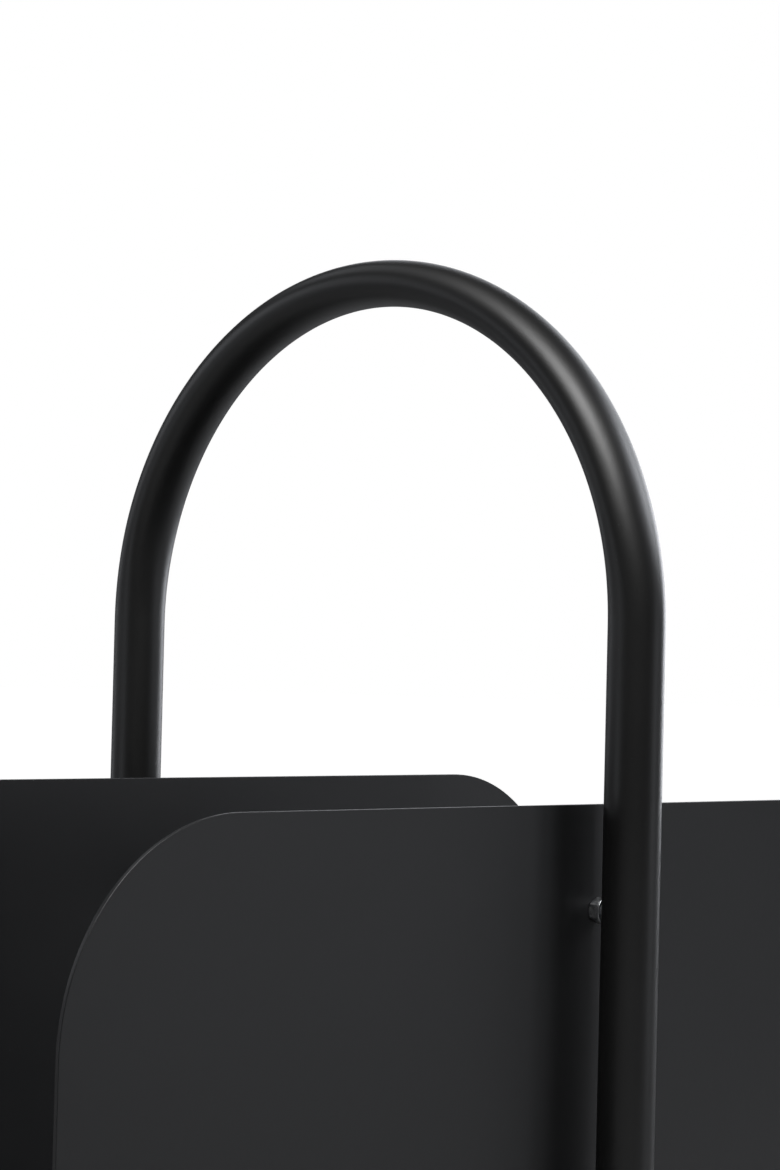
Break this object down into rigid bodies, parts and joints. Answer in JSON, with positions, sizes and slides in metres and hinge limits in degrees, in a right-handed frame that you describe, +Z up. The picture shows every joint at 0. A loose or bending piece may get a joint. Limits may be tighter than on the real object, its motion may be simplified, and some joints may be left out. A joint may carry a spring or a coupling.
{
  "type": "firewood log rack",
  "caption": "Firewood log rack: a bent sheet-steel cradle, open at its ends, with tall round-cornered walls and a bent-tube carrying hoop arching over its middle.",
  "frame": {"origin": "on the floor, under the middle of the rack", "axes": "+Z up, +X along the logs and the open trough, +Y across the rack to the back wall; the hoop stands in the Y-Z plane"},
  "size_m": [0.61, 0.343, 0.5468],
  "materials": {
    "powder_coat": "fine satin black powder coat",
    "black_steel": "blackened steel, low sheen",
    "zinc_steel": "bright zinc plating",
    "black_plastic": "moulded matt black",
    "black_rubber": "moulded matt black rubber",
    "brass": "turned brass"
  },
  "bodies": {
    "root": {"log_cradle": "powder_coat", "carry_hoop": "powder_coat", "leg_plug_front": "black_plastic", "leg_plug_back": "black_plastic", "upper_screw_front": "black_steel", "upper_screw_back": "black_steel", "lower_screw_front": "black_steel", "lower_screw_back": "black_steel", "upper_washer_front": "zinc_steel", "upper_washer_back": "zinc_steel", "lower_washer_front": "zinc_steel", "lower_washer_back": "zinc_steel", "upper_nut_front": "zinc_steel", "upper_nut_back": "zinc_steel", "lower_nut_front": "zinc_steel", "lower_nut_back": "zinc_steel", "upper_insert_front": "zinc_steel", "upper_insert_back": "zinc_steel", "lower_insert_front": "zinc_steel", "lower_insert_back": "zinc_steel", "foot_front_left": "black_rubber", "foot_back_left": "black_rubber", "foot_front_right": "black_rubber", "foot_back_right": "black_rubber", "foot_bush_front_left": "brass", "foot_bush_back_left": "brass", "foot_bush_front_right": "brass", "foot_bush_back_right": "brass", "foot_screw_front_left": "black_steel", "foot_screw_back_left": "black_steel", "foot_screw_front_right": "black_steel", "foot_screw_back_right": "black_steel"}
  },
  "joints": []
}
